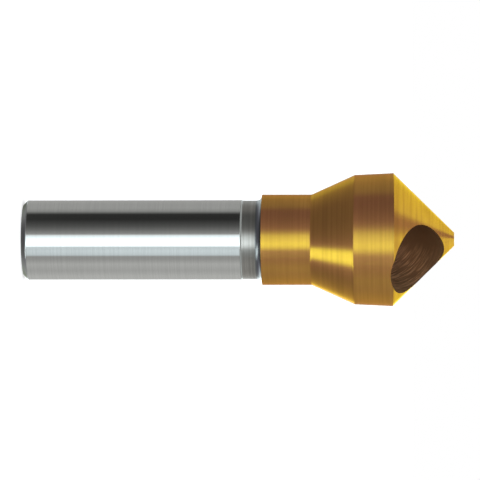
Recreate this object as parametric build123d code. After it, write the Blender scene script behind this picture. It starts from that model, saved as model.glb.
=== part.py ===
from build123d import *
import os
from math import cos, radians, sin, tan

# Countersink bit with one slanting chip hole, turned and ground from a single bar of tool steel.
# The tool stands on the end of its shank: the origin is the centre of that flat end, and +Z runs
# along the tool's axis to the tip. Lengths are in millimetres and angles in degrees.
# Directions round the axis are measured from +X towards +Y.

# ---- Driving dimensions ----

overall_length = 65.0

# Shank, which the drill chuck grips
shank_diameter = 12.0
shank_end_diameter = 10.7
shank_chamfer_length = 0.7

# Neck, turned a little under the size of the shank
neck_diameter = 11.84
neck_step_length = 0.2
neck_length = 2.0

# Collar and flare, which carry the head
collar_diameter = 13.64
collar_length = 7.45
flare_length = 6.5

# Head, ground with a slight taper that falls back from the cutting end
head_diameter = 20.1
head_back_diameter = 19.52
head_length = 6.15

# Cutting cone, ground off centre: the surface falls away behind the edge that cuts
cone_angle = 89.0
tip_flat_diameter = 2.0
cone_relief = 0.4
relief_direction = -97.0

# Chip hole, drilled aslant right through the head; its rim on the cone is the cutting edge
hole_diameter = 10.7
hole_tilt = 52.5
hole_direction = -51.5
hole_depth_below_tip = 10.3
hole_offset = 0.55

# ---- Sizes that follow ----

shank_radius = shank_diameter / 2
neck_radius = neck_diameter / 2
collar_radius = collar_diameter / 2
head_radius = head_diameter / 2
tip_flat_radius = tip_flat_diameter / 2

cone_slope = tan(radians(cone_angle / 2))
cone_length = (head_radius - cone_relief - tip_flat_radius) / cone_slope
shoulder_fillet = collar_radius - neck_radius
hole_crossing_height = overall_length - hole_depth_below_tip

# Heights of the rings where one form meets the next, worked down from the tip
head_edge_height = overall_length - cone_length
flare_top_height = head_edge_height - head_length
collar_top_height = flare_top_height - flare_length
collar_base_height = collar_top_height - collar_length
neck_top_height = collar_base_height - shoulder_fillet
neck_base_height = neck_top_height - neck_length
shank_top_height = neck_base_height - neck_step_length


def across_axis(direction):
    """Return the level unit vector that points away from the tool's axis in this direction."""
    return Vector(cos(radians(direction)), sin(radians(direction)), 0)


def turned_blank():
    """Return the turned bar, still a plain cylinder where the cone is ground later."""
    with BuildPart() as blank:
        with BuildSketch(Plane.XZ):
            with BuildLine():
                Polyline(
                    (0, overall_length),
                    (0, 0),
                    (shank_end_diameter / 2, 0),
                    (shank_radius, shank_chamfer_length),
                    (shank_radius, shank_top_height),
                    (neck_radius, neck_base_height),
                    (neck_radius, neck_top_height),
                )
                TangentArc(
                    (neck_radius, neck_top_height),
                    (collar_radius, collar_base_height),
                    tangent=(0, 1),
                )
                Polyline(
                    (collar_radius, collar_base_height),
                    (collar_radius, collar_top_height),
                    (head_back_diameter / 2, flare_top_height),
                    (head_radius, head_edge_height),
                    (head_radius, overall_length),
                    (0, overall_length),
                )
            make_face()
        revolve(axis=Axis.Z)
    return blank.part


def cone_envelope():
    """Return the wide cone whose surface is the ground cutting face, shifted by its relief."""
    base_radius = tip_flat_radius + overall_length * cone_slope
    envelope = Cone(
        base_radius,
        tip_flat_radius,
        overall_length,
        align=(Align.CENTER, Align.CENTER, Align.MIN),
    )
    return Pos(across_axis(relief_direction) * cone_relief) * envelope


def chip_hole():
    """Return the slanting cylinder that is drilled out of the head."""
    crossing = across_axis(hole_direction - 90) * hole_offset + Vector(0, 0, hole_crossing_height)
    outward = across_axis(hole_direction) + Vector(0, 0, 1 / tan(radians(hole_tilt)))
    drill_line = Plane(origin=crossing, z_dir=outward)
    return drill_line * Cylinder(hole_diameter / 2, 2 * overall_length)


def countersink_bit():
    """Return the finished tool: the blank with its cone ground and its chip hole drilled."""
    return (turned_blank() & cone_envelope()) - chip_hole()


os.makedirs("parts", exist_ok=True)
export_step(countersink_bit(), "parts/countersink_bit.step")
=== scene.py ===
"""Countersink bit: a ground shank, a turned neck and a golden coated head with one slanting chip hole."""

from __future__ import annotations

import logging
import math
from dataclasses import dataclass, replace
from enum import IntEnum
from typing import ClassVar

import bpy
from mathutils import Matrix, Vector


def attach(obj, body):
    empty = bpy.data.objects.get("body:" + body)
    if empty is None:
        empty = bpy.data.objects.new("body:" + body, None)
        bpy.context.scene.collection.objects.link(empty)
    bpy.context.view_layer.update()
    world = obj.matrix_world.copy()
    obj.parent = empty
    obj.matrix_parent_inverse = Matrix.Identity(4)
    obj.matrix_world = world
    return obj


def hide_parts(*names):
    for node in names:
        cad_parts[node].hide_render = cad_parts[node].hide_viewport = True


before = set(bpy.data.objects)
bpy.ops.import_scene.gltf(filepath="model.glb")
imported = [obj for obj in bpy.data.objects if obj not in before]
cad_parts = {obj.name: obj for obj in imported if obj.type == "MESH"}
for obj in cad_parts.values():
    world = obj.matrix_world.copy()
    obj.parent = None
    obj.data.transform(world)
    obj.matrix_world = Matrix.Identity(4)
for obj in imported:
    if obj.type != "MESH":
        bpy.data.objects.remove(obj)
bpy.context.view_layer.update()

LOG = logging.getLogger("countersink_bit")
MM = 0.001

# A colour, or three values along or about the axes
Triple = tuple[float, float, float]
NO_TURN: Triple = (0.0, 0.0, 0.0)
WHITE: Triple = (1.0, 1.0, 1.0)

# A Mix node's colour inputs and output
MIX_FIRST, MIX_SECOND, MIX_RESULT = 6, 7, 2
# A Vector Math node's two outputs
VECTOR_RESULT, NUMBER_RESULT = 0, 1
# Turn of a drawn-out gloss, as a share of a full turn
GRAIN_TURN = 0.25
# Closer than this, two points are one (metres) and two radii are equal (as a factor)
MERGE_DISTANCE = 1e-7
SAME_SIZE = 1e-9


class Zone(IntEnum):
    """The finishes of the tool, some of them darker painted-shade copies of the turned steel, in the
    order of its material slots.
    """

    SHANK = 0
    TURNED = 1
    COAT = 2
    CONE = 3
    BORE = 4
    FACED = 5
    # Painted shade: the shoulder fillet's turned steel, painted darker
    SHOULDER = 6
    # Painted shade: the chamfer's turned steel, its gloss tinted dark at the rim
    CHAMFER = 7


# ---- Shader nodes ----


class NodeBoard:
    """The node tree of one material or of the world, laid out from code."""

    def __init__(self, tree: bpy.types.NodeTree) -> None:
        """Take over a node tree and empty it.

        Args:
            tree: The node tree of a material or world.
        """
        self.tree = tree
        tree.nodes.clear()

    def add(
        self,
        kind: str,
        settings: dict[str, object] | None = None,
        inputs: dict[str | int, object] | None = None,
    ) -> bpy.types.Node:
        """Add one node with its settings and its inputs.

        Args:
            kind: The node's type name.
            settings: Properties set first; "stops" fills a colour ramp.
            inputs: Values or fields for the sockets, by name or number.

        Returns:
            The new node.
        """
        node = self.tree.nodes.new(kind)
        for name, value in (settings or {}).items():
            if name == "stops":
                self._fill_ramp(node.color_ramp, value)
            else:
                setattr(node, name, value)
        for name, value in (inputs or {}).items():
            socket = node.inputs[name]
            if isinstance(value, Field):
                self.tree.links.new(value.socket, socket)
            elif isinstance(value, bpy.types.NodeSocket):
                self.tree.links.new(value, socket)
            else:
                socket.default_value = value
        return node

    def field(
        self,
        kind: str,
        output: str | int,
        settings: dict[str, object] | None = None,
        inputs: dict[str | int, object] | None = None,
    ) -> Field:
        """Add one node and give one of its outputs as a field.

        Args:
            kind: The node's type name.
            output: The output socket, by name or number.
            settings: Properties set first.
            inputs: Values or fields for the sockets.

        Returns:
            The output as a field.
        """
        return Field(self, self.add(kind, settings, inputs).outputs[output])

    def mix(self, share: Field, first: object, second: object) -> Field:
        """Mix two colours or lights.

        Args:
            share: 0 for the first, 1 for the second.
            first: The first, as a field or four numbers.
            second: The second, likewise.

        Returns:
            The mix as a field.
        """
        return self.field(
            "ShaderNodeMix",
            MIX_RESULT,
            {"data_type": "RGBA"},
            {0: share, MIX_FIRST: first, MIX_SECOND: second},
        )

    def output(self, kind: str, surface: Field) -> None:
        """Give the material or world its shader.

        Args:
            kind: The output node's type name.
            surface: The shader.
        """
        self.add(kind, None, {"Surface": surface})

    @staticmethod
    def _fill_ramp(ramp: bpy.types.ColorRamp, stops: list[tuple[float, Triple]]) -> None:
        """Give a colour ramp its stops.

        Args:
            ramp: The ramp to fill.
            stops: Position and colour of each stop, from 0 to 1.
        """
        while len(ramp.elements) < len(stops):
            ramp.elements.new(1.0)
        for element, (position, colour) in zip(ramp.elements, stops):
            element.position = position
            element.color = (*colour, 1.0)


class Field:
    """A number that varies over a surface or a direction, with maths written as expressions."""

    def __init__(self, board: NodeBoard, socket: bpy.types.NodeSocket) -> None:
        """Wrap an output socket.

        Args:
            board: The board that the socket's node is on.
            socket: The output socket.
        """
        self.board = board
        self.socket = socket

    def math(self, operation: str, *values: object) -> Field:
        """Apply a Math node to this field.

        Args:
            operation: The Math node's operation.
            values: The second and third inputs, where it has them.

        Returns:
            The result as a field.
        """
        return self.board.field(
            "ShaderNodeMath", 0, {"operation": operation}, dict(enumerate((self, *values)))
        )

    def __add__(self, other: object) -> Field:
        """Return self + other."""
        return self.math("ADD", other)

    __radd__ = __add__

    def __sub__(self, other: object) -> Field:
        """Return self - other."""
        return self.math("SUBTRACT", other)

    def __rsub__(self, other: float) -> Field:
        """Return other - self."""
        return self.math("MULTIPLY_ADD", -1.0, other)

    def __mul__(self, other: object) -> Field:
        """Return self * other."""
        return self.math("MULTIPLY", other)

    __rmul__ = __mul__

    def step(self, start: float, end: float, low: float = 0.0, high: float = 1.0) -> Field:
        """Rise smoothly from low to high while this field runs from start to end.

        Args:
            start: Where the rise starts.
            end: Where it ends.
            low: The value before start.
            high: The value after end.

        Returns:
            The eased value as a field.
        """
        return self.board.field(
            "ShaderNodeMapRange",
            0,
            {"interpolation_type": "SMOOTHSTEP"},
            {"Value": self, 1: start, 2: end, 3: low, 4: high},
        )


class Surface:
    """A material under way: its board, its coordinates and its shader."""

    def __init__(self, name: str) -> None:
        """Start a material.

        Args:
            name: The material's name.
        """
        self.material = bpy.data.materials.new(name)
        self.material.use_nodes = True
        self.board = NodeBoard(self.material.node_tree)
        self.place = self.board.field("ShaderNodeTexCoord", "Object")

    def noise(
        self, scale: Triple, detail: float = 2.0, roughness: float = 0.5, turn: Triple = NO_TURN
    ) -> Field:
        """Return a noise from 0 to 1, drawn out into a grain.

        Args:
            scale: Cycles to the metre along each turned axis.
            detail: Number of finer layers.
            roughness: How strong the finer layers are.
            turn: Turn about the axes, in radians, before scaling.

        Returns:
            The noise as a field.
        """
        turned = self.board.field(
            "ShaderNodeMapping", 0, {"vector_type": "POINT"}, {"Vector": self.place, "Rotation": turn}
        )
        place = self.scaled(turned, scale)
        return self.board.field(
            "ShaderNodeTexNoise",
            0,
            {"noise_dimensions": "3D"},
            {"Vector": place, "Scale": 1.0, "Detail": detail, "Roughness": roughness},
        )

    def scaled(self, place: Field, scale: Triple) -> Field:
        """Return coordinates scaled along each axis."""
        return self.board.field(
            "ShaderNodeVectorMath", VECTOR_RESULT, {"operation": "MULTIPLY"}, {0: place, 1: scale}
        )

    def blend(self, share: Field, first: Triple, second: Triple) -> Field:
        """Return a colour between two.

        Args:
            share: 0 for the first colour, 1 for the second.
            first: The first colour.
            second: The second colour.

        Returns:
            The mixed colour as a field.
        """
        return self.board.mix(share, (*first, 1.0), (*second, 1.0))

    def relief(self, height: Field, depth: float, strength: float) -> Field:
        """Return the normal that a fine relief gives.

        Args:
            height: The relief from 0 to 1.
            depth: Its depth in metres.
            strength: Share of the effect.

        Returns:
            The normal as a field.
        """
        return self.board.field(
            "ShaderNodeBump", 0, None, {"Height": height, "Distance": depth, "Strength": strength}
        )

    def metal(
        self,
        colour: Field,
        roughness: Field,
        normal: Field,
        grain: float = 0.0,
        metallic: float = 1.0,
        rim: Triple = WHITE,
    ) -> Field:
        """Return a metal shader.

        Args:
            colour: Colour over the surface.
            roughness: Roughness over the surface.
            normal: Normal over the surface.
            grain: How much the gloss is drawn out across the tool marks.
            metallic: Share of metal.
            rim: Tint of the gloss where the surface turns away.

        Returns:
            The shader as a field.
        """
        return self.board.field(
            "ShaderNodeBsdfPrincipled",
            0,
            None,
            {
                "Base Color": colour,
                "Roughness": roughness,
                "Normal": normal,
                "Metallic": metallic,
                "Anisotropic": grain,
                "Anisotropic Rotation": GRAIN_TURN if grain else 0.0,
                "Specular Tint": (*rim, 1.0),
            },
        )

    def close(
        self, shader: Field, second: Field | None = None, share: float = 0.5
    ) -> bpy.types.Material:
        """Give the material its shader, or a mix of two.

        Args:
            shader: The shader.
            second: The second shader of a mix.
            share: The second shader's share.

        Returns:
            The finished material.
        """
        if second is not None:
            shader = self.board.field("ShaderNodeMixShader", 0, None, {0: share, 1: shader, 2: second})
        self.board.output("ShaderNodeOutputMaterial", shader)
        return self.material


# ---- Finishes ----


@dataclass(frozen=True)
class GroundShank:
    """Bright ground steel with fine marks round it."""

    bright: Triple = (0.635, 0.655, 0.655)
    dull: Triple = (0.595, 0.615, 0.615)
    roughness: float = 0.082
    unevenness: float = 0.02
    lines_scale: Triple = (90.0, 90.0, 6500.0)
    cloud_scale: Triple = (160.0, 160.0, 90.0)
    contrast: tuple[float, float] = (0.3, 0.7)
    relief: float = 0.000003
    relief_strength: float = 0.2

    def make(self) -> bpy.types.Material:
        """Return the material."""
        surface = Surface("ground_shank_steel")
        lines = surface.noise(self.lines_scale, detail=3.0, roughness=0.6)
        cloud = surface.noise(self.cloud_scale)
        roughness = self.roughness + (lines - 0.5) * self.unevenness + (cloud - 0.5) * self.unevenness
        colour = surface.blend(lines.step(*self.contrast), self.bright, self.dull)
        normal = surface.relief(lines, self.relief, self.relief_strength)
        return surface.close(surface.metal(colour, roughness, normal))


@dataclass(frozen=True)
class TurnedSteel:
    """Bare turned steel with the rings of the lathe tool."""

    name: str = "turned_steel"
    bright: Triple = (0.41, 0.405, 0.385)
    dull: Triple = (0.31, 0.305, 0.285)
    rim: Triple = WHITE
    roughness: float = 0.29
    unevenness: float = 0.1
    pitch: float = 0.0003
    cycles_per_ring: float = 0.7
    cycles_round: float = 25.0
    fine_scale: Triple = (70.0, 70.0, 9000.0)
    rings_share: float = 0.7
    fine_share: float = 0.3
    contrast: tuple[float, float] = (0.35, 0.65)
    grain: float = 0.2
    relief: float = 0.00003
    relief_strength: float = 0.3

    def make(self) -> bpy.types.Material:
        """Return the material."""
        surface = Surface(self.name)
        rings_scale = (self.cycles_round, self.cycles_round, self.cycles_per_ring / self.pitch)
        rings = surface.noise(rings_scale, detail=1.0)
        fine = surface.noise(self.fine_scale)
        marks = rings * self.rings_share + fine * self.fine_share
        colour = surface.blend(marks.step(*self.contrast), self.bright, self.dull)
        roughness = self.roughness + (fine - 0.5) * self.unevenness
        normal = surface.relief(marks, self.relief, self.relief_strength)
        return surface.close(surface.metal(colour, roughness, normal, self.grain, rim=self.rim))


@dataclass(frozen=True)
class FacedSteel:
    """The shank's faced end, with rings round its centre."""

    bright: Triple = (0.6, 0.605, 0.59)
    dull: Triple = (0.47, 0.475, 0.46)
    roughness: float = 0.3
    unevenness: float = 0.12
    rings_to_metre: float = 3200.0
    cloud_scale: Triple = (500.0, 500.0, 500.0)
    contrast: tuple[float, float] = (0.35, 0.65)
    relief: float = 0.00002
    relief_strength: float = 0.4

    def make(self) -> bpy.types.Material:
        """Return the material."""
        surface = Surface("faced_steel")
        board = surface.board
        flat = surface.scaled(surface.place, (1.0, 1.0, 0.0))
        out = board.field("ShaderNodeVectorMath", NUMBER_RESULT, {"operation": "LENGTH"}, {0: flat})
        rings = board.field(
            "ShaderNodeTexNoise",
            0,
            {"noise_dimensions": "1D"},
            {"W": out * self.rings_to_metre, "Scale": 1.0, "Detail": 2.0},
        )
        cloud = surface.noise(self.cloud_scale)
        colour = surface.blend(rings.step(*self.contrast), self.bright, self.dull)
        roughness = self.roughness + (cloud - 0.5) * self.unevenness
        normal = surface.relief(rings, self.relief, self.relief_strength)
        return surface.close(surface.metal(colour, roughness, normal))


@dataclass(frozen=True)
class GoldenCoat:
    """Golden nitride coat over turned metal: a yellow satin gloss over a browner, duller bed."""

    name: str = "golden_coat"
    light: Triple = (0.64, 0.52, 0.012)
    deep: Triple = (0.53, 0.43, 0.01)
    bed: Triple = (0.66, 0.162, 0.165)
    bed_deep: Triple = (0.54, 0.13, 0.14)
    rim: Triple = (1.0, 0.76, 0.3)
    bed_rim: Triple = (1.0, 0.6, 0.5)
    roughness: float = 0.23
    bed_roughness: float = 0.55
    bed_share: float = 0.5
    grain: float = 0.5
    cloud_unevenness: float = 0.06
    lines_unevenness: float = 0.05
    bed_unevenness: float = 0.1
    cycles_round: float = 55.0
    lines_across: float = 3200.0
    cloud_scale: Triple = (140.0, 140.0, 170.0)
    lines_share: float = 0.65
    cloud_share: float = 0.35
    contrast: tuple[float, float] = (0.34, 0.66)
    relief: float = 0.00001
    relief_strength: float = 0.3

    def make(self) -> bpy.types.Material:
        """Return the material."""
        surface = Surface(self.name)
        lines_scale = (self.cycles_round, self.cycles_round, self.lines_across)
        lines = surface.noise(lines_scale, detail=3.0, roughness=0.6)
        cloud = surface.noise(self.cloud_scale, detail=3.0)
        tone = (lines * self.lines_share + cloud * self.cloud_share).step(*self.contrast)
        uneven = (cloud - 0.5) * self.cloud_unevenness
        normal = surface.relief(lines, self.relief, self.relief_strength)
        gloss = surface.metal(
            surface.blend(tone, self.light, self.deep),
            self.roughness + uneven + (lines - 0.5) * self.lines_unevenness,
            normal,
            self.grain,
            rim=self.rim,
        )
        bed = surface.metal(
            surface.blend(tone, self.bed, self.bed_deep),
            self.bed_roughness + (cloud - 0.5) * self.bed_unevenness,
            normal,
            rim=self.bed_rim,
        )
        return surface.close(gloss, bed, self.bed_share)


@dataclass(frozen=True)
class DrilledBore:
    """The chip hole's wall: a thin brown coat painted darker as shade in the hole, with drill marks round
    it on one side, painted brighter there as reflected light, that thin out to both sides.
    """

    light: Triple = (0.82, 0.51, 0.285)
    deep: Triple = (0.34, 0.19, 0.098)
    # The unmarked wall: its coat colour, painted darker as shade in the hole
    plain: Triple = (0.3, 0.165, 0.08)
    roughness: float = 0.42
    metal: float = 0.65
    unevenness: float = 0.2
    turn: Triple = NO_TURN
    rings_scale: Triple = (300.0, 300.0, 3300.0)
    fine_scale: Triple = (650.0, 650.0, 6400.0)
    patch_scale: Triple = (480.0, 480.0, 700.0)
    shares: Triple = (0.55, 0.3, 0.15)
    contrast: tuple[float, float] = (0.38, 0.54)
    # Where the painted reflected light on the drill marks rises and wanes across the wall and fades at
    # the mouth, in metres
    lit_marks_rise: tuple[float, float] = (0.0, 0.003)
    lit_marks_wane: tuple[float, float] = (0.0055, 0.0085)
    lit_marks_waned_share: float = 0.5
    mouth: tuple[float, float] = (0.058, 0.062)
    mouth_share: float = 0.35
    relief: float = 0.00005
    relief_strength: float = 0.5

    def make(self) -> bpy.types.Material:
        """Return the material."""
        surface = Surface("drilled_bore_coat")
        rings = surface.noise(self.rings_scale, detail=3.0, roughness=0.6, turn=self.turn)
        fine = surface.noise(self.fine_scale, turn=self.turn)
        patch = surface.noise(self.patch_scale, detail=1.0, turn=self.turn)
        rings_share, fine_share, patch_share = self.shares
        marks = rings * rings_share + fine * fine_share + patch * patch_share
        parts = surface.board.add("ShaderNodeSeparateXYZ", None, {0: surface.place})
        across, along = (Field(surface.board, parts.outputs[name]) for name in "XZ")
        # Painted reflected light: a bright patch of drill marks on one side of the wall, fainter towards
        # the mouth
        lit_marks = across.step(*self.lit_marks_rise) * across.step(*self.lit_marks_wane, 1.0, self.lit_marks_waned_share)
        lit_marks = lit_marks * along.step(*self.mouth, 1.0, self.mouth_share)
        scored_and_lit = surface.blend(marks.step(*self.contrast), self.light, self.deep)
        colour = surface.board.mix(lit_marks, (*self.plain, 1.0), scored_and_lit)
        roughness = self.roughness + (rings - 0.5) * self.unevenness
        normal = surface.relief(marks * lit_marks, self.relief, self.relief_strength)
        return surface.close(surface.metal(colour, roughness, normal, metallic=self.metal))


# ---- Modelling ----


class Bench:
    """Modelling steps that every form of the tool shares."""

    @staticmethod
    def clear() -> None:
        """Leave edit mode with nothing selected."""
        if bpy.context.mode != "OBJECT":
            bpy.ops.object.mode_set(mode="OBJECT")
        bpy.ops.object.select_all(action="DESELECT")

    @classmethod
    def select(cls, piece: bpy.types.Object) -> None:
        """Select one object alone and make it active.

        Args:
            piece: The object.
        """
        cls.clear()
        piece.select_set(True)
        bpy.context.view_layer.objects.active = piece

    @classmethod
    def disc(
        cls,
        name: str,
        radius: float,
        centre: Vector,
        turn: Triple = NO_TURN,
        sides: int = 256,
    ) -> bpy.types.Object:
        """Add a filled disc and go into edit mode with it selected all over.

        Args:
            name: Name of the new object.
            radius: The disc's radius in metres.
            centre: Its centre.
            turn: Its turn about the axes, in radians.
            sides: Number of its edges.

        Returns:
            The new object.
        """
        cls.clear()
        bpy.ops.mesh.primitive_circle_add(
            vertices=sides, radius=radius, fill_type="NGON", location=centre, rotation=turn
        )
        piece = bpy.context.object
        piece.name = piece.data.name = name
        bpy.ops.object.transform_apply(location=True, rotation=True, scale=True)
        bpy.ops.object.mode_set(mode="EDIT")
        bpy.ops.mesh.select_all(action="SELECT")
        return piece

    @staticmethod
    def draw_out(travel: Vector, growth: float, centre: Vector) -> None:
        """Extrude the selected disc and grow or shrink its new end.

        Args:
            travel: How far the new end goes.
            growth: The factor on its radius.
            centre: The new end's centre.
        """
        bpy.ops.mesh.extrude_region_move(TRANSFORM_OT_translate={"value": travel})
        if abs(growth - 1.0) > SAME_SIZE:
            bpy.ops.transform.resize(value=(growth, growth, growth), center_override=centre)

    @classmethod
    def close(cls, piece: bpy.types.Object) -> None:
        """Merge doubles and turn all faces outwards.

        Args:
            piece: The object in hand.
        """
        cls.select(piece)
        bpy.ops.object.mode_set(mode="EDIT")
        bpy.ops.mesh.select_all(action="SELECT")
        bpy.ops.mesh.remove_doubles(threshold=MERGE_DISTANCE)
        bpy.ops.mesh.normals_make_consistent(inside=False)
        bpy.ops.object.mode_set(mode="OBJECT")

    @classmethod
    def cut(cls, piece: bpy.types.Object, tool: bpy.types.Object, operation: str) -> None:
        """Apply a Boolean with another solid and throw that solid away.

        Args:
            piece: The object that is cut.
            tool: The other solid.
            operation: DIFFERENCE or INTERSECT.
        """
        cls.select(piece)
        modifier = piece.modifiers.new(tool.name, "BOOLEAN")
        modifier.operation = operation
        modifier.solver = "EXACT"
        modifier.object = tool
        bpy.ops.object.modifier_apply(modifier=modifier.name)
        mesh = tool.data
        bpy.data.objects.remove(tool)
        bpy.data.meshes.remove(mesh)


@dataclass(frozen=True)
class Corner:
    """A corner of the turned outline, in millimetres, and the small round on it."""

    height: float
    radius: float
    round: float = 0.0

    # A round and the points that hold it reach at most this share of the way to the next corner
    MOST_OF_FLAT: ClassVar[float] = 0.45
    ROUND_PARTS: ClassVar[int] = 5
    # The holding points lie this many times the round away from the corner
    HOLDING_REACH: ClassVar[int] = 3

    def towards(self, other: Corner, distance: float) -> tuple[float, float]:
        """Return the point at a distance from this corner towards another."""
        run = math.hypot(other.height - self.height, other.radius - self.radius)
        share = min(distance / run, self.MOST_OF_FLAT)
        return (
            self.height + (other.height - self.height) * share,
            self.radius + (other.radius - self.radius) * share,
        )

    def rounded(self, before: Corner, after: Corner) -> list[tuple[float, float]]:
        """Return the points of this corner's round, with one more on each side to hold the flats.

        Args:
            before: The corner below.
            after: The corner above.

        Returns:
            Heights and radii, from below upwards.
        """
        if self.round <= 0:
            return [(self.height, self.radius)]
        start, end = self.towards(before, self.round), self.towards(after, self.round)
        points = [self.towards(before, self.round * self.HOLDING_REACH)]
        for step in range(self.ROUND_PARTS + 1):
            t = step / self.ROUND_PARTS
            points.append(
                tuple(
                    (1 - t) ** 2 * a + 2 * t * (1 - t) * b + t * t * c
                    for a, b, c in zip(start, (self.height, self.radius), end)
                )
            )
        points.append(self.towards(after, self.round * self.HOLDING_REACH))
        return points


@dataclass
class TurnedBlank:
    """The turned bar: shank, neck, shoulder, collar, flare and head. Sizes are in millimetres."""

    overall_length: float = 65.0
    shank_radius: float = 6.0
    shank_end_radius: float = 5.35
    shank_chamfer: float = 0.7
    shank_top: float = 33.0
    neck_base: float = 33.2
    neck_top: float = 35.2
    neck_radius: float = 5.92
    collar_base: float = 36.1
    collar_radius: float = 6.82
    collar_top: float = 43.55
    flare_top: float = 50.05
    head_back_radius: float = 9.76
    head_edge: float = 56.2
    head_radius: float = 10.05
    edge_round: float = 0.06
    neck_round: float = 0.04
    collar_base_round: float = 0.03
    collar_top_round: float = 0.12
    flare_top_round: float = 0.08
    shoulder_step: int = 10
    spare_length: float = 1.0
    fine_pitch: float = 0.5
    coarse_pitch: float = 4.0
    shank_margin: float = 0.05
    collar_margin: float = 0.02
    level_normal: float = 0.9

    def corners(self) -> list[Corner]:
        """Return the outline's corners from the shank's end upwards."""
        fillet = self.collar_radius - self.neck_radius
        shoulder = [
            Corner(
                self.neck_top + fillet * math.sin(math.radians(angle)),
                self.neck_radius + fillet * (1 - math.cos(math.radians(angle))),
            )
            for angle in range(self.shoulder_step, 90, self.shoulder_step)
        ]
        return [
            Corner(0.0, self.shank_end_radius, self.edge_round),
            Corner(self.shank_chamfer, self.shank_radius, self.edge_round),
            Corner(self.shank_top, self.shank_radius, self.edge_round),
            Corner(self.neck_base, self.neck_radius, self.neck_round),
            Corner(self.neck_top, self.neck_radius),
            *shoulder,
            Corner(self.collar_base, self.collar_radius, self.collar_base_round),
            Corner(self.collar_top, self.collar_radius, self.collar_top_round),
            Corner(self.flare_top, self.head_back_radius, self.flare_top_round),
            Corner(self.head_edge, self.head_radius),
            Corner(self.overall_length + self.spare_length, self.head_radius),
        ]

    def outline(self) -> list[tuple[float, float]]:
        """Return the heights and radii of all rings, with their corners rounded."""
        corners = self.corners()
        row = [Corner(0.0, 0.0), *corners, Corner(self.overall_length + self.spare_length, 0.0)]
        points: list[tuple[float, float]] = []
        for before, corner, after in zip(row, row[1:], row[2:]):
            points.extend(corner.rounded(before, after))
        return self._with_rings(points)

    def _with_rings(self, points: list[tuple[float, float]]) -> list[tuple[float, float]]:
        """Divide the long flats, finer where the hole will be cut."""
        rings = [points[0]]
        for height, radius in points[1:]:
            last_height, last_radius = rings[-1]
            pitch = self.fine_pitch if height > self.collar_top else self.coarse_pitch
            parts = max(1, math.ceil((height - last_height) / pitch))
            for part in range(1, parts + 1):
                share = part / parts
                rings.append(
                    (
                        last_height + (height - last_height) * share,
                        last_radius + (radius - last_radius) * share,
                    )
                )
        return rings

    def zone(self, height: float, level: bool) -> Zone:
        """Return the finish at a height, where level tells a flat end."""
        if level:
            return Zone.FACED
        if height < self.shank_chamfer:
            return Zone.CHAMFER
        if height < self.shank_top - self.shank_margin:
            return Zone.SHANK
        if height < self.neck_top:
            return Zone.TURNED
        if height < self.collar_base - self.collar_margin:
            return Zone.SHOULDER
        return Zone.COAT

    def build(self) -> bpy.types.Object:
        """Draw the bar out of a disc, ring by ring, and mark its finishes.

        Returns:
            The blank, a closed solid.
        """
        rings = self.outline()
        height, radius = rings[0]
        blank = Bench.disc("countersink_bit_dressed", radius * MM, Vector((0.0, 0.0, height * MM)))
        for next_height, next_radius in rings[1:]:
            rise = Vector((0.0, 0.0, (next_height - height) * MM))
            Bench.draw_out(rise, next_radius / radius, Vector((0.0, 0.0, next_height * MM)))
            height, radius = next_height, next_radius
        Bench.close(blank)
        for face in blank.data.polygons:
            level = abs(face.normal.z) > self.level_normal and face.center.z < MM
            face.material_index = self.zone(face.center.z / MM, level)
        return blank


@dataclass
class CuttingCone:
    """The wide cone that the head is ground to, off centre by its relief. Sizes are in millimetres."""

    overall_length: float = 65.0
    tip_flat_radius: float = 1.0
    half_angle: float = 44.5
    relief: float = 0.4
    relief_direction: float = -97.0
    reach: float = 11.0
    pitch: float = 0.35
    long_drops: Triple = (10.0, 20.0, 30.0)

    def build(self) -> bpy.types.Object:
        """Draw the cone out of its tip disc downwards.

        Returns:
            The cone as a closed solid, to be intersected with the blank.
        """
        heading = math.radians(self.relief_direction)
        aside = Vector((math.cos(heading), math.sin(heading), 0.0)) * self.relief
        spread = math.tan(math.radians(self.half_angle))
        centre = aside + Vector((0.0, 0.0, self.overall_length))
        radius = self.tip_flat_radius
        cone = Bench.disc("cone_envelope", radius * MM, centre * MM)
        drops = (*[self.pitch] * round(self.reach / self.pitch), *self.long_drops)
        for drop in drops:
            grown = radius + drop * spread
            centre = centre - Vector((0.0, 0.0, drop))
            Bench.draw_out(Vector((0.0, 0.0, -drop * MM)), grown / radius, centre * MM)
            radius = grown
        Bench.close(cone)
        for face in cone.data.polygons:
            face.material_index = Zone.CONE
        return cone


@dataclass
class ChipHole:
    """The slanting hole through the head. Sizes are in millimetres."""

    radius: float = 5.35
    tilt: float = 52.5
    direction: float = -51.5
    crossing_height: float = 54.7
    offset: float = 0.55
    reach: float = 17.0
    pitch: float = 0.5
    sides: int = 224

    def outward(self) -> Vector:
        """Return the unit vector along the hole, up and out of its mouth."""
        heading, tilt = math.radians(self.direction), math.radians(self.tilt)
        return Vector(
            (math.cos(heading) * math.sin(tilt), math.sin(heading) * math.sin(tilt), math.cos(tilt))
        )

    def crossing(self) -> Vector:
        """Return the point of the hole's line nearest to the tool's axis."""
        heading = math.radians(self.direction - 90)
        return Vector((math.cos(heading), math.sin(heading), 0.0)) * self.offset + Vector(
            (0.0, 0.0, self.crossing_height)
        )

    def turn(self) -> Triple:
        """Return the turn that lays a disc square to the hole's line."""
        return (0.0, math.radians(self.tilt), math.radians(self.direction))

    def build(self) -> bpy.types.Object:
        """Draw the drill's path out of a disc.

        Returns:
            The path as a closed solid, to be cut from the head.
        """
        outward = self.outward()
        centre = self.crossing() - outward * self.reach
        drill = Bench.disc("chip_hole", self.radius * MM, centre * MM, self.turn(), self.sides)
        for _ in range(round(2 * self.reach / self.pitch)):
            centre = centre + outward * self.pitch
            Bench.draw_out(outward * self.pitch * MM, 1.0, centre * MM)
        Bench.close(drill)
        for face in drill.data.polygons:
            face.material_index = Zone.BORE
        return drill


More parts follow.
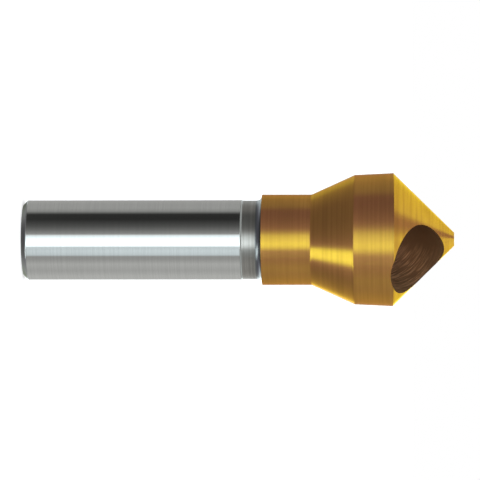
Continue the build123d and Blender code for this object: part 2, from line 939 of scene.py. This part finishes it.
@dataclass
class CountersinkBit:
    """The whole tool: its blank, its cone, its hole and their finishes."""

    blank: TurnedBlank
    cone: CuttingCone
    hole: ChipHole
    smooth_angle: float = 18.0

    def build(self) -> bpy.types.Object:
        """Cut the blank to the finished tool.

        Returns:
            The tool as one closed mesh with a material slot for each finish.
        """
        finishes = self.finishes()
        cone, hole, tool = self.cone.build(), self.hole.build(), self.blank.build()
        for solid in (tool, cone, hole):
            for finish in finishes:
                solid.data.materials.append(finish)
        Bench.cut(tool, cone, "INTERSECT")
        Bench.cut(tool, hole, "DIFFERENCE")
        Bench.close(tool)
        Bench.select(tool)
        bpy.ops.object.shade_smooth_by_angle(angle=math.radians(self.smooth_angle))
        Bench.clear()
        return tool

    def finishes(self) -> list[bpy.types.Material]:
        """Return the materials in the order of the zones."""
        heading, tilt = math.radians(self.hole.direction), math.radians(self.hole.tilt)
        upright = (Matrix.Rotation(-tilt, 3, "Y") @ Matrix.Rotation(-heading, 3, "Z")).to_euler("XYZ")
        made = {
            Zone.SHANK: GroundShank().make(),
            Zone.TURNED: TurnedSteel().make(),
            Zone.COAT: GoldenCoat().make(),
            Zone.CONE: GoldenCoat(
                name="golden_ground_cone",
                light=(1.0, 0.71, 0.018),
                deep=(0.7, 0.45, 0.013),
                bed=(0.68, 0.18, 0.15),
                bed_deep=(0.55, 0.14, 0.12),
                rim=(1.0, 0.92, 0.14),
                bed_rim=(1.0, 0.95, 0.22),
                bed_roughness=0.75,
                roughness=0.22,
                bed_share=0.46,
                lines_across=2600.0,
                relief=0.000012,
                relief_strength=0.6,
            ).make(),
            Zone.BORE: DrilledBore(turn=tuple(upright)).make(),
            Zone.FACED: FacedSteel().make(),
            # The shoulder fillet: the turned steel painted darker and cooler, as painted shade in the
            # hollow
            Zone.SHOULDER: TurnedSteel(
                name="turned_shoulder_painted_shade", bright=(0.29, 0.31, 0.31), dull=(0.22, 0.235, 0.235)
            ).make(),
            # The shank's end chamfer: the turned steel with its gloss tinted dark at the rim, as painted
            # shade
            Zone.CHAMFER: TurnedSteel(
                name="turned_chamfer_painted_shade",
                bright=(0.4, 0.405, 0.37),
                dull=(0.3, 0.305, 0.275),
                rim=(0.25, 0.25, 0.22),
            ).make(),
        }
        return [made[zone] for zone in Zone]

    def place(self, tool: bpy.types.Object) -> None:
        """Put the tool on its body, in place of the plain solid.

        Args:
            tool: The finished mesh.
        """
        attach(tool, "root")
        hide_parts("countersink_bit")


# ---- Studio ----


@dataclass(frozen=True)
class Belt:
    """The light all round the tool at one height: headings in degrees from the camera, and levels.

    Levels above the cool level come from the softbox and are a little cooler than the tent.
    """

    levels: tuple[tuple[float, float], ...]
    tent: Triple = (1.02, 1.0, 0.96)
    softbox: Triple = (0.94, 1.02, 1.04)
    cool_level: float = 0.8

    def stops(self, top: float) -> list[tuple[float, Triple]]:
        """Return the belt as ramp stops, with levels as shares of the top level."""
        made = []
        for heading, level in self.levels:
            tint = self.softbox if level >= self.cool_level else self.tent
            made.append(((heading + 180.0) / 360.0, tuple(level * t / top for t in tint)))
        return made

    def changed(self, levels: dict[float, float]) -> Belt:
        """Return this belt with other levels at some of its headings.

        Args:
            levels: The new level at each heading that changes.

        Returns:
            The new belt.
        """
        return replace(self, levels=tuple((at, levels.get(at, level)) for at, level in self.levels))


@dataclass
class Studio:
    """Pale floor, soft light tent with a softbox and a flag, and the camera. Lengths are in metres."""

    floor_radius: float = 3.0
    lens: float = 397.7
    distance: float = 0.8
    elevation: float = 2.98
    target_aside: float = 0.000024
    target_height: float = 0.03271
    roll: float = 0.063
    top_level: float = 4.0
    level_slit: Belt = Belt(
        (
            (-180.0, 1.0), (-170.0, 0.7), (-155.0, 0.55), (-130.0, 0.62), (-100.0, 0.52), (-75.0, 0.6),
            (-58.0, 0.43), (-49.0, 0.42), (-44.0, 0.88), (-32.0, 1.0), (-21.0, 0.85), (-18.8, 1.1),
            (-17.5, 2.2), (-11.0, 2.5), (4.0, 1.8), (12.5, 1.25), (15.0, 0.75), (17.0, 0.38),
            (23.0, 0.3), (30.0, 0.2), (40.0, 0.115), (50.0, 0.07), (62.0, 0.03), (80.0, 0.035),
            (87.0, 0.2), (92.0, 0.36), (105.0, 0.46), (168.0, 0.45), (180.0, 1.0),
        )
    )
    round_tool: Belt = Belt(
        (
            (-180.0, 4.0), (-168.0, 3.2), (-152.0, 1.15), (-138.0, 0.55), (-118.0, 0.4), (-100.0, 0.36),
            (-80.0, 0.43), (-58.0, 0.36), (-40.0, 0.18), (-29.0, 0.14), (-26.5, 0.5), (-23.0, 3.3),
            (-10.0, 3.7), (-2.0, 3.1), (9.0, 2.7), (18.0, 1.4), (24.0, 0.4), (32.0, 0.22),
            (60.0, 0.17), (80.0, 0.18), (95.0, 0.25), (110.0, 0.26), (125.0, 0.34), (138.0, 0.9),
            (160.0, 1.0), (180.0, 1.1),
        )
    )
    below_head: Belt = round_tool.changed(
        {
            -168.0: 3.6,
            -152.0: 1.5,
            -26.5: 0.36,
            -23.0: 1.3,
            -10.0: 1.75,
            -2.0: 1.3,
            9.0: 0.9,
            18.0: 0.55,
            24.0: 0.34,
        }
    )
    below_tool: Belt = Belt(
        (
            (-180.0, 2.4), (-150.0, 1.5), (-130.0, 0.54), (-110.0, 0.36), (-90.0, 0.28), (-61.0, 0.33),
            (-56.0, 3.0), (-30.0, 3.0), (-21.0, 0.35), (0.0, 0.26), (40.0, 0.2), (90.0, 0.2),
            (110.0, 0.3), (130.0, 0.5), (146.0, 0.85), (180.0, 1.0),
        ),
        tent=(1.0, 0.97, 1.12),
    )
    above_tool: Belt = Belt(
        (
            (-180.0, 3.2), (-174.0, 1.5), (-162.0, 1.05), (-148.0, 1.02), (-100.0, 1.1), (-80.0, 0.85),
            (80.0, 0.85), (94.0, 0.95), (148.0, 1.0), (162.0, 1.15), (170.0, 2.2), (180.0, 3.2),
        )
    )
    # Where each belt takes over, as the height of the light's direction: start and end
    below_head_join: tuple[float, float] = (-0.09, -0.15)
    below_tool_join: tuple[float, float] = (-0.26, -0.5)
    under_join: tuple[float, float] = (-0.8, -0.97)
    above_tool_join: tuple[float, float] = (0.05, 0.3)
    under_level: float = 0.17
    under_tint: Triple = (0.98, 0.97, 1.1)
    slit_height: float = -0.068
    slit_reach: float = 0.055
    # A soft edge runs from the first share of the reach or radius to the second
    slit_edge: tuple[float, float] = (1.3, 0.8)
    flag_edge: tuple[float, float] = (1.6, 0.4)
    flag_heading: float = 110.0
    flag_lean: float = 15.5
    flag_radius: float = 9.3
    flag_level: float = 0.08
    floor_sides: int = 96
    floor_inset: float = 0.6
    floor_grey: Triple = (0.82, 0.82, 0.82)
    floor_glow: Triple = (1.0, 0.95, 0.95)
    floor_glow_strength: float = 0.475
    sensor_width: float = 36.0
    clip_end: float = 50.0

    def make_floor(self) -> bpy.types.Object:
        """Lay the pale floor, which keeps the tool's shadow.

        Returns:
            The floor's object.
        """
        Bench.clear()
        bpy.ops.mesh.primitive_circle_add(
            vertices=self.floor_sides, radius=self.floor_radius, fill_type="NGON"
        )
        floor = bpy.context.object
        floor.name = floor.data.name = "pale_floor"
        bpy.ops.object.mode_set(mode="EDIT")
        bpy.ops.mesh.select_all(action="SELECT")
        bpy.ops.mesh.inset(thickness=self.floor_radius * self.floor_inset, depth=0.0)
        bpy.ops.object.mode_set(mode="OBJECT")
        surface = Surface("pale_floor")
        board = surface.board
        dull = board.field("ShaderNodeBsdfDiffuse", 0, None, {"Color": (*self.floor_grey, 1.0)})
        glow = board.field(
            "ShaderNodeEmission",
            0,
            None,
            {"Color": (*self.floor_glow, 1.0), "Strength": self.floor_glow_strength},
        )
        both = board.field("ShaderNodeAddShader", 0, None, {0: dull, 1: glow})
        direct = board.add("ShaderNodeLightPath").outputs["Is Camera Ray"]
        seen = board.field("ShaderNodeMixShader", 0, None, {0: direct, 1: dull, 2: both})
        board.output("ShaderNodeOutputMaterial", seen)
        floor.data.materials.append(surface.material)
        floor.visible_glossy = False
        Bench.clear()
        return floor

    def make_light(self) -> bpy.types.World:
        """Hang the light tent round the tool as the world.

        Returns:
            The world.
        """
        world = bpy.data.worlds.new("light_tent")
        bpy.context.scene.world = world
        world.use_nodes = True
        board = NodeBoard(world.node_tree)
        place = board.add("ShaderNodeTexCoord").outputs["Generated"]
        parts = board.add("ShaderNodeSeparateXYZ", None, {0: place})
        x, y, z = (Field(board, parts.outputs[n]) for n in range(3))
        heading = (x * -1.0).math("ARCTAN2", y * -1.0) * (0.5 / math.pi) + 0.5
        far, near = (self.slit_reach * share for share in self.slit_edge)
        slit = (z - self.slit_height).math("ABSOLUTE").step(far, near)
        under = self._grey(self.under_level, self.under_tint)
        level = self._belt(board, heading, self.round_tool)
        for share, light in (
            (slit, self._belt(board, heading, self.level_slit)),
            (z.step(*self.below_head_join), self._belt(board, heading, self.below_head)),
            (z.step(*self.below_tool_join), self._belt(board, heading, self.below_tool)),
            (z.step(*self.under_join), under),
            (z.step(*self.above_tool_join), self._belt(board, heading, self.above_tool)),
            (self._flag(board, place), self._grey(self.flag_level)),
        ):
            level = board.mix(share, level, light)
        tent = board.field("ShaderNodeBackground", 0, None, {"Color": level, "Strength": self.top_level})
        white = board.field("ShaderNodeBackground", 0, None, {"Color": (*WHITE, 1.0), "Strength": 1.0})
        path = board.add("ShaderNodeLightPath")
        direct = Field(board, path.outputs["Is Camera Ray"])
        seen = direct.math("MAXIMUM", path.outputs["Is Transmission Ray"])
        mixed = board.field("ShaderNodeMixShader", 0, None, {0: seen, 1: tent, 2: white})
        board.output("ShaderNodeOutputWorld", mixed)
        return world

    def _belt(self, board: NodeBoard, heading: Field, belt: Belt) -> Field:
        """Return the light that one belt gives at a heading, as a share of the top level."""
        return board.field("ShaderNodeValToRGB", 0, {"stops": belt.stops(self.top_level)}, {0: heading})

    def _grey(self, level: float, tint: Triple = WHITE) -> tuple[float, float, float, float]:
        """Return a plain level as a share of the top level, in a tint."""
        return (*(level * t / self.top_level for t in tint), 1.0)

    def _flag(self, board: NodeBoard, place: bpy.types.NodeSocket) -> Field:
        """Return the mask of the dark flag that hangs nearly overhead."""
        heading, lean = math.radians(self.flag_heading), math.radians(self.flag_lean)
        out = math.sin(lean)
        centre = (-math.sin(heading) * out, -math.cos(heading) * out, math.cos(lean))
        near = board.field(
            "ShaderNodeVectorMath", NUMBER_RESULT, {"operation": "DOT_PRODUCT"}, {0: place, 1: centre}
        )
        return near.step(*(math.cos(math.radians(self.flag_radius * share)) for share in self.flag_edge))

    def make_camera(self) -> bpy.types.Object:
        """Set the camera low in front of the tool and roll it on its side.

        Returns:
            The camera.
        """
        lift = math.radians(self.elevation)
        back = Vector((0.0, -math.cos(lift), math.sin(lift)))
        right = Vector((0.0, math.sin(lift), math.cos(lift)))
        up = Vector((-1.0, 0.0, 0.0))
        data = bpy.data.cameras.new("camera")
        data.lens = self.lens
        data.sensor_width = self.sensor_width
        data.clip_end = self.clip_end
        camera = bpy.data.objects.new("camera", data)
        bpy.context.scene.collection.objects.link(camera)
        roll = Matrix.Rotation(math.radians(-self.roll), 4, "Z")
        pose = Matrix((right, up, back)).transposed().to_4x4() @ roll
        pose.translation = Vector((self.target_aside, 0.0, self.target_height)) + back * self.distance
        camera.matrix_world = pose
        bpy.context.scene.camera = camera
        return camera


def main() -> None:
    """Build the tool and its studio."""
    logging.basicConfig(level=logging.INFO, format="%(message)s")
    bit = CountersinkBit(TurnedBlank(), CuttingCone(), ChipHole())
    tool = bit.build()
    bit.place(tool)
    LOG.info("%s: %d faces", tool.name, len(tool.data.polygons))
    studio = Studio()
    LOG.info("stage: %s", studio.make_floor().name)
    LOG.info("light: %s", studio.make_light().name)
    LOG.info("camera: %s", studio.make_camera().name)
    bpy.context.scene.view_settings.view_transform = "Standard"


if __name__ == "__main__":
    main()
